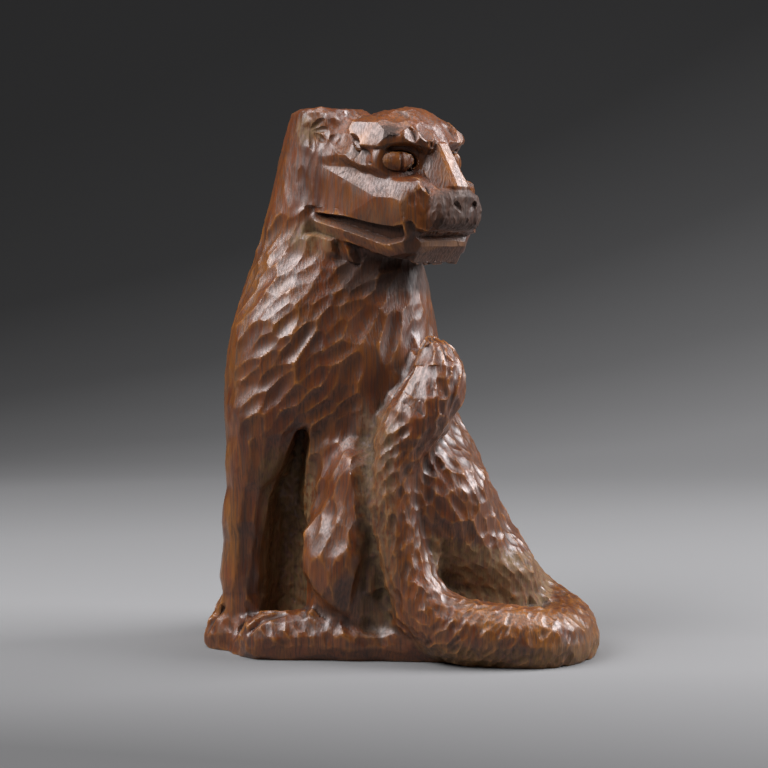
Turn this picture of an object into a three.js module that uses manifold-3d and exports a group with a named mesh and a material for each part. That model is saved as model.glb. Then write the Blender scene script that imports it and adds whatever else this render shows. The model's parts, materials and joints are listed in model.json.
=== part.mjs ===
// A seated tiger carved from one block of hardwood, looking back over its left shoulder.
// The body faces -X, its left side faces -Y, and it stands on its sawn underside at Z = 0.
// The form is a distance field of blended limbs and masses, drawn as one closed faceted skin.
import * as THREE from "three";
import { mergeVertices } from "three/addons/utils/BufferGeometryUtils.js";
import Module from "manifold-3d";

// Driving dimensions, in millimetres and degrees
const height = 455; // from the underside to the top of the ears
const headTurn = 135; // how far the head looks back from the way the body faces
const tailRadius = 26; // where the tail lies on the ground
const tuftRadius = 25; // at the fullest part of the tuft
const forelegRadius = 20.5;
const footRadius = 24; // half the height of a hind foot
const plinthHeight = 14; // the uncut wood left between the feet
const mouthDepth = 16; // how far the wood inside the mouth is set back from the cheeks
const earDepth = 9;
const headCell = 5.7; // facet size on the head
const bodyCell = 16.4; // facet size away from the head

// Places and sizes of the free form are shares of the height, written in millimetres
// as they are on a figure 455 high.
const share = height / 455;
const at = (x, y, z) => new THREE.Vector3(x, y, z).multiplyScalar(share);

// Two distances joined with a fillet of the given reach, and one cut by another.
function blend(a, b, reach) {
  const near = Math.max(reach - Math.abs(a - b), 0) / reach;
  return Math.min(a, b) - (near * near * reach) / 4;
}
const carve = (body, cutter, reach) => -blend(-body, cutter, reach);

// An egg-shaped mass. lean turns it about its own centre.
function ball(centre, x, y, z, lean = new THREE.Euler()) {
  const radii = at(x, y, z);
  const unturn = new THREE.Quaternion().setFromEuler(lean).invert();
  const local = new THREE.Vector3();
  const scaled = new THREE.Vector3();
  return (p) => {
    local.subVectors(p, centre).applyQuaternion(unturn);
    const inside = scaled.copy(local).divide(radii).length();
    const slope = scaled.divide(radii).length();
    return slope < 1e-9 ? -Math.min(radii.x, radii.y, radii.z) : (inside * (inside - 1)) / slope;
  };
}

// A rounded limb between two joints, thick as given at each.
function limb(from, to, fromRadius, toRadius) {
  const along = new THREE.Vector3().subVectors(to, from);
  const span = along.lengthSq();
  const offset = new THREE.Vector3();
  return (p) => {
    const t = THREE.MathUtils.clamp(offset.subVectors(p, from).dot(along) / span, 0, 1);
    return offset.addScaledVector(along, -t).length() - THREE.MathUtils.lerp(fromRadius, toRadius, t);
  };
}

// A block with rounded edges, turned about its centre.
function block(centre, x, y, z, edge, lean = new THREE.Euler()) {
  const half = at(x, y, z).subScalar(edge);
  const unturn = new THREE.Quaternion().setFromEuler(lean).invert();
  const local = new THREE.Vector3();
  return (p) => {
    local.subVectors(p, centre).applyQuaternion(unturn);
    local.set(Math.abs(local.x), Math.abs(local.y), Math.abs(local.z)).sub(half);
    const inner = Math.min(Math.max(local.x, local.y, local.z), 0);
    return local.clampScalar(0, Infinity).length() + inner - edge;
  };
}

// A mass hewn flat on each of its faces, with its edges rounded off. Each face is a place on it
// and the way it looks.
function hewn(faces, edge) {
  const planes = faces.map(([x, y, z, ...way]) => {
    const normal = new THREE.Vector3(...way).normalize();
    return new THREE.Plane().setFromNormalAndCoplanarPoint(normal, at(x, y, z));
  });
  return (p) => planes.map((plane) => plane.distanceToPoint(p)).reduce((a, b) => -blend(-a, -b, edge));
}

// An upright trunk whose section changes smoothly between stations.
// Each station is its level, its front and back in X, and its half-width.
function trunk(stations, squareness) {
  const levels = stations.map((s) => s[0] * share);
  const values = stations.flatMap((s) => s.slice(1).map((v) => v * share));
  const section = new THREE.CubicInterpolant(levels, values, 3);
  const bottom = levels[0];
  const top = levels[levels.length - 1];
  return (p) => {
    const [front, back, halfWidth] = section.evaluate(THREE.MathUtils.clamp(p.z, bottom, top));
    const halfLength = (back - front) / 2;
    const across = Math.abs(p.y) / halfWidth;
    const along = Math.abs(p.x - (front + back) / 2) / halfLength;
    const out = (across ** squareness + along ** squareness) ** (1 / squareness) - 1;
    const side = out * Math.min(halfWidth, halfLength);
    return Math.max(side, p.z - top, bottom - p.z);
  };
}

// A run of short limbs along a smooth curve, with its own radius at each point.
function cordOf(points, radii, steps) {
  const curve = new THREE.CatmullRomCurve3(points, false, "centripetal");
  const girth = new THREE.CubicInterpolant(radii.map((_, i) => i), radii, 1);
  const place = (i) => curve.getPoint(i / steps);
  const thick = (i) => girth.evaluate((i / steps) * (radii.length - 1))[0];
  return Array.from({ length: steps }, (_, i) => limb(place(i), place(i + 1), thick(i), thick(i + 1)));
}

const bothSides = (build) => [-1, 1].map((side) => build(side));

// The trunk: chest and neck in one column, and the hindquarters behind it.
const chestAndNeck = trunk(
  [
    [125, -128, 50, 50],
    [160, -146, 58, 60],
    [205, -151, 42, 65],
    [245, -147, 35, 66],
    [285, -139, 28, 62],
    [321, -128, 20, 55],
    [350, -119, 8, 49],
    [385, -109, -6, 45],
    [420, -101, -16, 42],
    [452, -92, -30, 36],
  ],
  2.3,
);
const hindquarters = trunk(
  [
    [-25, -84, 146, 74],
    [10, -84, 142, 74],
    [40, -84, 133, 72],
    [70, -84, 117, 68],
    [100, -84, 98, 62],
    [130, -86, 82, 57],
    [156, -92, 65, 52],
    [195, -100, 40, 46],
  ],
  2.4,
);

// Shoulders, forelegs and front paws
const shoulders = bothSides((side) => ball(at(-86, side * 34, 246), 54, 37, 74, new THREE.Euler(0, 0.12, 0)));
const forelegs = bothSides((side) => {
  const girth = [34 * share, 27 * share, 1.08 * forelegRadius, forelegRadius, 1.02 * forelegRadius];
  const joints = [at(-112, side * 34, 196), at(-119, side * 31, 158), at(-128, side * 28, 112), at(-132, side * 27, 64), at(-131, side * 27, 14)];
  return joints.slice(1).map((joint, i) => limb(joints[i], joint, girth[i], girth[i + 1]));
});
const frontPaws = bothSides((side) => ball(at(-141, side * 25, 11), 27, 22, 29));

// Hind legs: the haunch, the knee standing up in front of it, and the long foot on the ground
const haunches = bothSides((side) => ball(at(34, side * 48, 128), 40, 42, 62, new THREE.Euler(0, -0.57, 0)));
const thighs = bothSides((side) => limb(at(26, side * 56, 100), at(84, side * 44, 64), 28 * share, 31 * share));
const knees = bothSides((side) => [
  limb(at(-22, side * 58, 148), at(-46, side * 58, 78), 30 * share, 36 * share),
  limb(at(-46, side * 58, 78), at(-44, side * 58, 40), 36 * share, 34 * share),
  limb(at(-22, side * 58, 146), at(34, side * 50, 130), 30 * share, 38 * share),
]);
const feet = bothSides((side) => [
  limb(at(-112, side * 66, 16), at(-40, side * 70, 16), footRadius, 0.95 * footRadius),
  limb(at(-40, side * 70, 16), at(26, side * 76, 14), 0.95 * footRadius, 0.92 * footRadius),
]);

// The hollow cut between each foreleg and the knee, down to the wall of wood under the chest
const wall = 29 * share; // half the thickness of that wall
const hollowOutline = [
  limb(at(-81, 0, 184), at(-94, 0, 130), 3 * share, 12 * share),
  limb(at(-94, 0, 130), at(-94, 0, 62), 12 * share, 15 * share),
];
const flat = new THREE.Vector3();
const hollow = (p) => {
  flat.set(p.x, 0, p.z);
  return Math.max(Math.min(...hollowOutline.map((part) => part(flat))), wall - Math.abs(p.y));
};

// The uncut wood between the forelegs and between the feet
const breastWall = block(at(-100, 0, 90), 44, 20, 110, 8 * share);
const plinth = block(at(-20, 0, plinthHeight / share - 20), 122, 66, 20, 12 * share);

// The tail: from the rump, round the left side on the ground, then up the flank to its tuft
const tailMiddle = [
  at(112, 8, 26), at(134, -24, 18), at(134, -66, 14), at(112, -97, 18), at(78, -102, 24), at(46, -100, 28),
  at(18, -94, 46), at(5, -90, 70), at(-3, -87, 99), at(-9, -85, 130), at(-8, -83, 157), at(1, -80, 181),
  at(17, -76, 204), at(29, -73, 224), at(30, -70, 242), at(24, -66, 257),
];
const tailGirth = [
  1.15, 1.1, 1.08, 1.04, 1, 1, 0.92, 0.84, 0.82, 0.82, 0.8,
].map((part) => part * tailRadius);
const tuftGirth = [0.92, 1.02, 0.94, 0.7, 0.34].map((part) => part * tuftRadius);
const tail = cordOf(tailMiddle, [...tailGirth, ...tuftGirth], 44);

// The head has its own frame: X to its right, Y forwards and Z up, from the middle of the skull.
const headPlace = at(-8, -30, 395);
const headAngle = THREE.MathUtils.degToRad(headTurn + 90);
const toHead = new THREE.Quaternion().setFromAxisAngle(new THREE.Vector3(0, 0, 1), -headAngle);
const headPoint = new THREE.Vector3();

const skull = ball(at(0, -12, 8), 50, 60, 42);
const nape = ball(at(0, -44, 4), 52, 40, 43);
const forehead = ball(at(0, 17, 20), 49, 39, 39);
const eyeLean = (side) => new THREE.Euler(0, 0, side * -0.57);
const brows = bothSides((side) => [
  limb(at(side * 42, 8, 38), at(side * 37.5, 37, 31), 10 * share, 10.5 * share),
  limb(at(side * 37.5, 37, 31), at(side * 15, 52, 29), 10.5 * share, 9 * share),
]);
const sockets = bothSides((side) => ball(at(side * 35, 52, 10), 18, 10, 11, eyeLean(side)));
const eyes = bothSides((side) => ball(at(side * 33, 39, 12), 14, 9, 9, eyeLean(side)));

// The cheeks and upper jaw, hewn from planes that meet in a ridge below each eye
const cheeks = hewn(
  [
    [50, -10, -10, 0.98, 0.06, 0.12],
    [49.5, 33, -12, 0.88, 0.34, 0.34],
    [50.5, 33, -26, 0.94, 0.3, -0.08],
    [38, 56, -16, 0.68, 0.72, 0.15],
    [-50, -10, -10, -0.98, 0.06, 0.12],
    [-49.5, 33, -12, -0.88, 0.34, 0.34],
    [-50.5, 33, -26, -0.94, 0.3, -0.08],
    [-38, 56, -16, -0.68, 0.72, 0.15],
    [0, 62, -20, 0, 0.98, 0.2],
    [0, 40, -36.5, 0, 0.1, -0.99],
    [0, 30, 6, 0, 0.3, 0.95],
    [0, -40, -10, 0, -1, 0],
  ],
  5 * share,
);
const muzzle = hewn(
  [
    [-4, 81, -25, 0, 0.99, -0.06],
    [28, 72, -30, 0.86, 0.5, 0.06],
    [-34, 72, -30, -0.86, 0.5, 0.06],
    [32, 40, -30, 1, 0, 0],
    [-35, 40, -30, -1, 0, 0],
    [24, 66, -12, 0.6, 0.3, 0.74],
    [-30, 66, -12, -0.6, 0.3, 0.74],
    [0, 78, -10, 0, 0.35, 0.94],
    [0, 60, -47, 0, 0.2, -0.98],
    [0, 20, -30, 0, -1, 0],
  ],
  10 * share,
);
const bridge = block(at(-4, 58, 1), 9, 12, 27, 3 * share, new THREE.Euler(0.5, 0, 0));

// The lower jaw: its top edge is the lip, and it runs under the cheeks to the corners of the mouth
const jaw = hewn(
  [
    [0, 60, -56, 0, 0.95, -0.32],
    [23, 56, -56, 0.66, 0.7, -0.28],
    [43, 30, -53, 0.88, 0.12, -0.46],
    [-23, 56, -56, -0.66, 0.7, -0.28],
    [-43, 30, -53, -0.88, 0.12, -0.46],
    [0, 37, -68, 0, -0.24, -0.97],
    [0, 34, -55.5, 0, 0.22, 0.975],
    [0, -38, -50, 0, -1, 0],
  ],
  5 * share,
);
const frontLip = limb(at(-17, 51, -56), at(17, 51, -56), 7 * share, 7 * share);
// The wood left inside the mouth, set back from the cheeks, and the pillars that close it in front
const mouthWall = hewn(
  [
    [0, 56, -46, 0, 1, 0],
    [50 - mouthDepth / share, 0, -46, 0.98, 0.1, 0],
    [mouthDepth / share - 50, 0, -46, -0.98, 0.1, 0],
    [0, 0, -62, 0, 0, -1],
    [0, 0, -30, 0, 0, 1],
    [0, -40, -46, 0, -1, 0],
  ],
  5 * share,
);
const pillars = bothSides((side) => limb(at(side * 25, 52, -38), at(side * 25, 50, -56), 7 * share, 7 * share));
const mouthCorners = bothSides((side) => limb(at(side * 56, -36, -34), at(side * 48, 20, -45), 5 * share, 8 * share));
const ears = bothSides((side) => ball(at(side * 45, -40, 38), 13, 18, 18));
const earHollows = bothSides((side) => ball(at(side * 56, -32, 38), earDepth / share, 15, 15));

function headDistance(p) {
  headPoint.subVectors(p, headPlace).applyQuaternion(toHead);
  const q = headPoint;
  let d = blend(skull(q), nape(q), 24 * share);
  d = blend(d, forehead(q), 12 * share);
  d = blend(d, cheeks(q), 8 * share);
  for (const brow of brows.flat()) d = blend(d, brow(q), 5 * share);
  for (const socket of sockets) d = carve(d, socket(q), 4 * share);
  d = blend(d, bridge(q), 5 * share);
  for (const eye of eyes) d = blend(d, eye(q), 2 * share);
  d = blend(d, muzzle(q), 5 * share);
  d = blend(d, jaw(q), 4 * share);
  d = blend(d, frontLip(q), 4 * share);
  d = blend(d, mouthWall(q), 3 * share);
  for (const pillar of pillars) d = blend(d, pillar(q), 5 * share);
  for (const corner of mouthCorners) d = carve(d, corner(q), 3 * share);
  for (const ear of ears) d = blend(d, ear(q), 8 * share);
  for (const hollow of earHollows) d = carve(d, hollow(q), 4 * share);
  return d;
}

function figureDistance(p) {
  let d = blend(chestAndNeck(p), hindquarters(p), 22 * share);
  for (const shoulder of shoulders) d = blend(d, shoulder(p), 20 * share);
  for (const part of forelegs.flat()) d = blend(d, part(p), 10 * share);
  for (const paw of frontPaws) d = blend(d, paw(p), 7 * share);
  d = blend(d, breastWall(p), 8 * share);
  let hind = Infinity;
  for (const haunch of haunches) hind = Math.min(hind, haunch(p));
  for (const thigh of thighs) hind = blend(hind, thigh(p), 22 * share);
  for (const part of knees.flat()) hind = blend(hind, part(p), 16 * share);
  d = blend(d, hind, 14 * share);
  d = carve(d, hollow(p), 6 * share);
  let foot = plinth(p);
  for (const part of feet.flat()) foot = blend(foot, part(p), 8 * share);
  d = blend(d, foot, 6 * share);
  let wrap = Infinity;
  for (const part of tail) wrap = blend(wrap, part(p), 5 * share);
  d = blend(d, wrap, 10 * share);
  return blend(d, headDistance(p), 9 * share);
}

// The skin is sampled on a grid whose cells shrink smoothly towards the face.
const face = at(14, -52, 388);
const shrink = headCell / bodyCell;
const fineReach = 66 * share; // how far from the face the small cells go
const easing = 18 * share;
const softStep = (r) => easing * Math.log(1 + Math.exp((r - fineReach / shrink) / easing));
const drawnIn = (r) => shrink * r + (1 - shrink) * (softStep(r) - softStep(0));
function gridPoint(u, target) {
  const r = u.length();
  return target.copy(u).multiplyScalar(r > 0 ? drawnIn(r) / r : 1).add(face);
}

// Walks every cell of the grid, puts a point on the skin in each cell that it passes through,
// and joins the points of the four cells round each grid edge that it crosses.
function skin(distance, low, high) {
  const count = new THREE.Vector3().subVectors(high, low).divideScalar(bodyCell).ceil();
  const [nx, ny, nz] = count.toArray().map((n) => n + 1);
  const index = (i, j, k) => (k * ny + j) * nx + i;
  const corners = [];
  const values = new Float64Array(nx * ny * nz);
  const u = new THREE.Vector3();
  for (let k = 0; k < nz; k++)
    for (let j = 0; j < ny; j++)
      for (let i = 0; i < nx; i++) {
        u.set(i, j, k).multiplyScalar(bodyCell).add(low);
        const corner = gridPoint(u, new THREE.Vector3());
        corners.push(corner);
        values[index(i, j, k)] = distance(corner);
      }
  const steps = [1, nx, nx * ny];
  closeDiagonals(values, steps, [nx, ny, nz]);
  const cellPoint = new Map();
  const positions = [];
  const faces = [];
  const crossing = new THREE.Vector3();

  function pointOf(cell) {
    if (cellPoint.has(cell)) return cellPoint.get(cell);
    const sum = new THREE.Vector3();
    let crossings = 0;
    for (let axis = 0; axis < 3; axis++) {
      const [s, t] = [steps[(axis + 1) % 3], steps[(axis + 2) % 3]];
      for (const start of [cell, cell + s, cell + t, cell + s + t]) {
        const end = start + steps[axis];
        if (values[start] < 0 === values[end] < 0) continue;
        crossing.lerpVectors(corners[start], corners[end], values[start] / (values[start] - values[end]));
        sum.add(crossing);
        crossings++;
      }
    }
    const point = onSkin(sum.divideScalar(crossings), distance);
    cellPoint.set(cell, positions.length / 3);
    positions.push(point.x, point.y, point.z);
    return cellPoint.get(cell);
  }

  for (let k = 1; k < nz - 1; k++)
    for (let j = 1; j < ny - 1; j++)
      for (let i = 1; i < nx - 1; i++) {
        const start = index(i, j, k);
        for (let axis = 0; axis < 3; axis++) {
          const end = start + steps[axis];
          const inside = values[start] < 0;
          if (inside === values[end] < 0) continue;
          const [s, t] = [steps[(axis + 1) % 3], steps[(axis + 2) % 3]];
          const ring = [start - s - t, start - t, start, start - s].map(pointOf);
          const [a, b, c, d] = inside ? ring : ring.reverse();
          faces.push(a, b, c, a, c, d);
        }
      }
  const geometry = new THREE.BufferGeometry();
  geometry.setAttribute("position", new THREE.Float32BufferAttribute(positions, 3));
  geometry.setIndex(faces);
  return geometry;
}

// Where the wood in a cell, or the air in it, meets only across a diagonal, the corner nearest
// the skin becomes wood, so that one sheet of skin passes through each cell.
function closeDiagonals(values, steps, counts) {
  const corners = Array.from({ length: 8 }, (_, c) => steps.reduce((sum, s, axis) => sum + ((c >> axis) & 1) * s, 0));
  const isJoined = Array.from({ length: 256 }, (_, mask) => {
    const members = corners.map((_, c) => c).filter((c) => (mask >> c) & 1);
    const reached = new Set(members.slice(0, 1));
    for (const c of reached) for (const axis of [1, 2, 4]) if ((mask >> (c ^ axis)) & 1) reached.add(c ^ axis);
    return reached.size === members.length;
  });
  for (let changed = true; changed; ) {
    changed = false;
    for (let k = 0; k < counts[2] - 1; k++)
      for (let j = 0; j < counts[1] - 1; j++)
        for (let i = 0; i < counts[0] - 1; i++) {
          const cell = k * steps[2] + j * steps[1] + i;
          const mask = corners.reduce((sum, offset, c) => sum | (values[cell + offset] < 0 ? 1 << c : 0), 0);
          if (isJoined[mask] && isJoined[255 - mask]) continue;
          const air = corners.map((offset) => cell + offset).filter((corner) => values[corner] >= 0);
          const nearest = air.reduce((a, b) => (values[b] < values[a] ? b : a));
          values[nearest] = -Math.max(values[nearest], 1e-3);
          changed = true;
        }
  }
}

// Slides a point near the skin onto it, down the field's slope.
function onSkin(point, distance) {
  const reach = 0.5;
  const slope = new THREE.Vector3();
  const probe = new THREE.Vector3();
  const here = distance(point);
  for (let axis = 0; axis < 3; axis++) {
    probe.copy(point).setComponent(axis, point.getComponent(axis) + reach);
    slope.setComponent(axis, (distance(probe) - here) / reach);
  }
  slope.multiplyScalar(-here / Math.max(slope.lengthSq(), 0.5)).clampLength(0, headCell / 3);
  return point.add(slope);
}

// The figure runs a little below the ground and is sawn off flat there.
const wasm = await Module();
wasm.setup();

function toManifold(geometry) {
  const bare = geometry.clone();
  for (const name of Object.keys(bare.attributes)) if (name !== "position") bare.deleteAttribute(name);
  const merged = mergeVertices(bare, 1e-4);
  return new wasm.Manifold(
    new wasm.Mesh({
      numProp: 3,
      vertProperties: new Float32Array(merged.getAttribute("position").array),
      triVerts: new Uint32Array(merged.getIndex().array),
    }),
  );
}

function toGeometry(solid) {
  const made = solid.getMesh();
  const geometry = new THREE.BufferGeometry();
  geometry.setAttribute("position", new THREE.BufferAttribute(new Float32Array(made.vertProperties), 3));
  geometry.setIndex(new THREE.BufferAttribute(new Uint32Array(made.triVerts), 1));
  return geometry;
}

const gridLow = at(-330, -200, -610);
const gridHigh = at(330, 300, 200);
const figure = toManifold(skin(figureDistance, gridLow, gridHigh));
const room = new THREE.BoxGeometry(height * 2, height * 2, height * 2).translate(0, 0, height);
const sawn = figure.intersect(toManifold(room));

const wood = new THREE.MeshStandardMaterial({ color: 0x5a2a16, roughness: 0.35, metalness: 0 });
const tiger = new THREE.Mesh(toGeometry(sawn), wood);
tiger.name = "tiger";

const sculpture = new THREE.Group();
sculpture.add(tiger);
export default sculpture;
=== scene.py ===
"""The looks of a seated tiger carved from one block of varnished hardwood.

The body faces -X, its left side faces -Y, and it looks back over its left shoulder.
The carver's cuts are made in the mesh. The wood, its varnish, its dust and painted shade in its hollows are
one material.
"""

import json
import math

import bpy
import numpy as np
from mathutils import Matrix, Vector, kdtree

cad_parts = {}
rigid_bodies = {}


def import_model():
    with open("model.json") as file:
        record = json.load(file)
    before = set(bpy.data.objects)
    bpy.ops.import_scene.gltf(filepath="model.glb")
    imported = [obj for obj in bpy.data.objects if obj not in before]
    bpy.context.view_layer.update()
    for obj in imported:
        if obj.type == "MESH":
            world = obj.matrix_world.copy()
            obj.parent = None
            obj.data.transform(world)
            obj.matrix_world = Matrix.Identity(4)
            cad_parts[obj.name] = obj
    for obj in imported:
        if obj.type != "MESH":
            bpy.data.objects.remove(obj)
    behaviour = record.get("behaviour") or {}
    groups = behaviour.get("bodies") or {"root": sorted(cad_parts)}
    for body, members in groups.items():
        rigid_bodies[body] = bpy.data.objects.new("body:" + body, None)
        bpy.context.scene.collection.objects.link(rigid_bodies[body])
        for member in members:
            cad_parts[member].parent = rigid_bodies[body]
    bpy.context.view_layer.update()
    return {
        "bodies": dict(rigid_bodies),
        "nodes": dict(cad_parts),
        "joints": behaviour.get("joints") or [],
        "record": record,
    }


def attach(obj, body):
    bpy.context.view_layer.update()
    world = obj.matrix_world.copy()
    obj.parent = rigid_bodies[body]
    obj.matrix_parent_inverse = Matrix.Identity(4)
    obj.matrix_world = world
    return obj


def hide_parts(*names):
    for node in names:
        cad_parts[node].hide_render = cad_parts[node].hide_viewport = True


MM = 0.001
SEED = 11
SKIN_CELL = 1.35 * MM  # how finely the surface is divided before it is carved
MOST_TRIANGLES = 190000
CRISP = 17  # degrees between faces from which an edge is drawn sharp


def unit(v):
    v = np.asarray(v, float)
    return v / np.maximum(np.linalg.norm(v, axis=-1, keepdims=True), 1e-12)


def ramp(x, low, high):
    """0 below low, 1 above high, and smooth between."""
    t = np.clip((x - low) / (high - low), 0, 1)
    return t * t * (3 - 2 * t)


def band(x, low, high, soft):
    """1 between low and high, fading outside over soft."""
    return ramp(x, low - soft, low) * (1 - ramp(x, high, high + soft))


# The head's own frame, in mm: a across the face (the near side is below 0), b forwards, c up

HEAD = np.array([-8, -30, 395]) * MM
ACROSS = unit([1, 1, 0])
FORWARDS = unit([1, -1, 0])
UP = np.array([0.0, 0, 1])


def to_head(points):
    d = (points - HEAD) / MM
    return np.stack([d @ ACROSS, d @ FORWARDS, d @ UP], axis=-1)


def from_head(a, b, c):
    return HEAD + MM * (a * ACROSS + b * FORWARDS + c * UP)


def head_way(a, b, c):
    """A direction given in the head's frame."""
    return unit(a * ACROSS + b * FORWARDS + c * UP)


class Carving:
    """The figure's surface: its points, the way each faces, and the edges that join them."""

    def __init__(self, mesh):
        self.mesh = mesh
        self.points = np.empty(len(mesh.vertices) * 3)
        mesh.vertices.foreach_get("co", self.points)
        self.points = self.points.reshape(-1, 3)
        pairs = np.empty(len(mesh.edges) * 2, int)
        mesh.edges.foreach_get("vertices", pairs)
        self.pairs = pairs.reshape(-1, 2)
        self.joins = np.bincount(self.pairs.ravel(), minlength=len(self.points))
        self.tone = np.full(len(self.points), 0.5)
        self.refresh()

    def refresh(self):
        self.mesh.vertices.foreach_set("co", self.points.ravel())
        self.mesh.update()
        facing = np.empty(len(self.points) * 3)
        self.mesh.vertex_normals.foreach_get("vector", facing)
        self.facing = facing.reshape(-1, 3)

    def averaged(self, values, rounds):
        """Each point's value mixed with those of the points joined to it."""
        first, second = self.pairs.T
        count = len(self.points)
        columns = values.reshape(count, -1).T.copy()
        for _ in range(rounds):
            for i, column in enumerate(columns):
                total = np.bincount(first, column[second], count)
                total += np.bincount(second, column[first], count)
                columns[i] = 0.5 * column + 0.5 * total / self.joins
        return columns.T.reshape(values.shape)

    def soften(self, rounds, where=1.0):
        """Rounds off the surface without letting it shrink much."""
        for _ in range(rounds):
            once = self.averaged(self.points, 1) - self.points
            back = once - 1.02 * (self.averaged(once, 1))
            self.points += where * back if np.isscalar(where) else where[:, None] * back
        self.refresh()

    def smooth_facing(self, rounds):
        return unit(self.averaged(self.facing, rounds))

    def move(self, ways, amounts):
        self.points += ways * amounts[:, None]


def skin_of(node, cell):
    """A finely divided copy of the solid figure."""
    skin = node.copy()
    skin.data = node.data.copy()
    skin.name = "carved_tiger"
    skin.parent = None
    bpy.context.scene.collection.objects.link(skin)
    bpy.ops.object.select_all(action="DESELECT")
    bpy.context.view_layer.objects.active = skin
    skin.select_set(True)
    bpy.ops.object.mode_set(mode="EDIT")
    bpy.ops.mesh.select_all(action="SELECT")
    bpy.ops.mesh.remove_doubles(threshold=0.00001)
    bpy.ops.object.mode_set(mode="OBJECT")
    remesh = skin.modifiers.new("even skin", "REMESH")
    remesh.mode = "VOXEL"
    remesh.voxel_size = cell
    bpy.ops.object.modifier_apply(modifier=remesh.name)
    return skin


def divide_head(skin):
    """Halves the cells on the front of the head, where the carving is finest."""
    mesh = skin.data
    centres = np.empty(len(mesh.polygons) * 3)
    mesh.polygons.foreach_get("center", centres)
    a, b, c = to_head(centres.reshape(-1, 3)).T
    chosen = (np.hypot(a, b - 14) < 88) & (c > -72) & (b > -66)
    bpy.ops.object.mode_set(mode="EDIT")
    bpy.ops.mesh.select_all(action="DESELECT")
    bpy.ops.object.mode_set(mode="OBJECT")
    mesh.polygons.foreach_set("select", chosen)
    bpy.ops.object.mode_set(mode="EDIT")
    bpy.ops.mesh.subdivide(number_cuts=1)
    bpy.ops.object.mode_set(mode="OBJECT")


# Where the parts of the body are, in mm

TAIL = np.array([
    (112, 8, 26), (134, -24, 18), (134, -66, 14), (112, -97, 18), (78, -102, 24), (46, -100, 28),
    (18, -94, 46), (5, -90, 70), (-3, -87, 99), (-9, -85, 130), (-8, -83, 157), (1, -80, 181),
    (17, -76, 204), (29, -73, 224), (30, -70, 242), (24, -66, 257),
], float)
TAIL_RADII = np.array([30, 29, 28, 27, 26, 26, 24, 22, 21.5, 21.5, 21, 23, 25.5, 23.5, 17.5, 8.5])
TUFT = 11.4  # the joint of the tail where its tuft begins
KNEE = (-54, 108)  # the middle of the knee along and up the figure's side, and half its size
KNEE_SIZE = (33, 82)
KNEE_CREASE = [(-86, 72), (-80, 56), (-67, 42), (-52, 34), (-34, 30), (-8, 29)]
VALLEY = [(-30, 190), (-28, 160), (-25, 128), (-20, 96), (-13, 66), (-6, 40)]


def tail_place(points):
    """How far along the tail each point lies, in joints, its distance outside it, and the tail's way."""
    p = points / MM
    nearest = np.full(len(p), 1e9)
    joint = np.zeros(len(p))
    ways = np.zeros((len(p), 3))
    for i in range(len(TAIL) - 1):
        span = TAIL[i + 1] - TAIL[i]
        t = np.clip(((p - TAIL[i]) @ span) / (span @ span), 0, 1)
        radius = TAIL_RADII[i] + t * (TAIL_RADII[i + 1] - TAIL_RADII[i])
        gap = np.linalg.norm(p - TAIL[i] - t[:, None] * span, axis=1) - radius
        closer = gap < nearest
        nearest = np.where(closer, gap, nearest)
        joint = np.where(closer, i + t, joint)
        ways[closer] = unit(span)
    return joint, nearest, ways


# Gouge cuts

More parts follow.
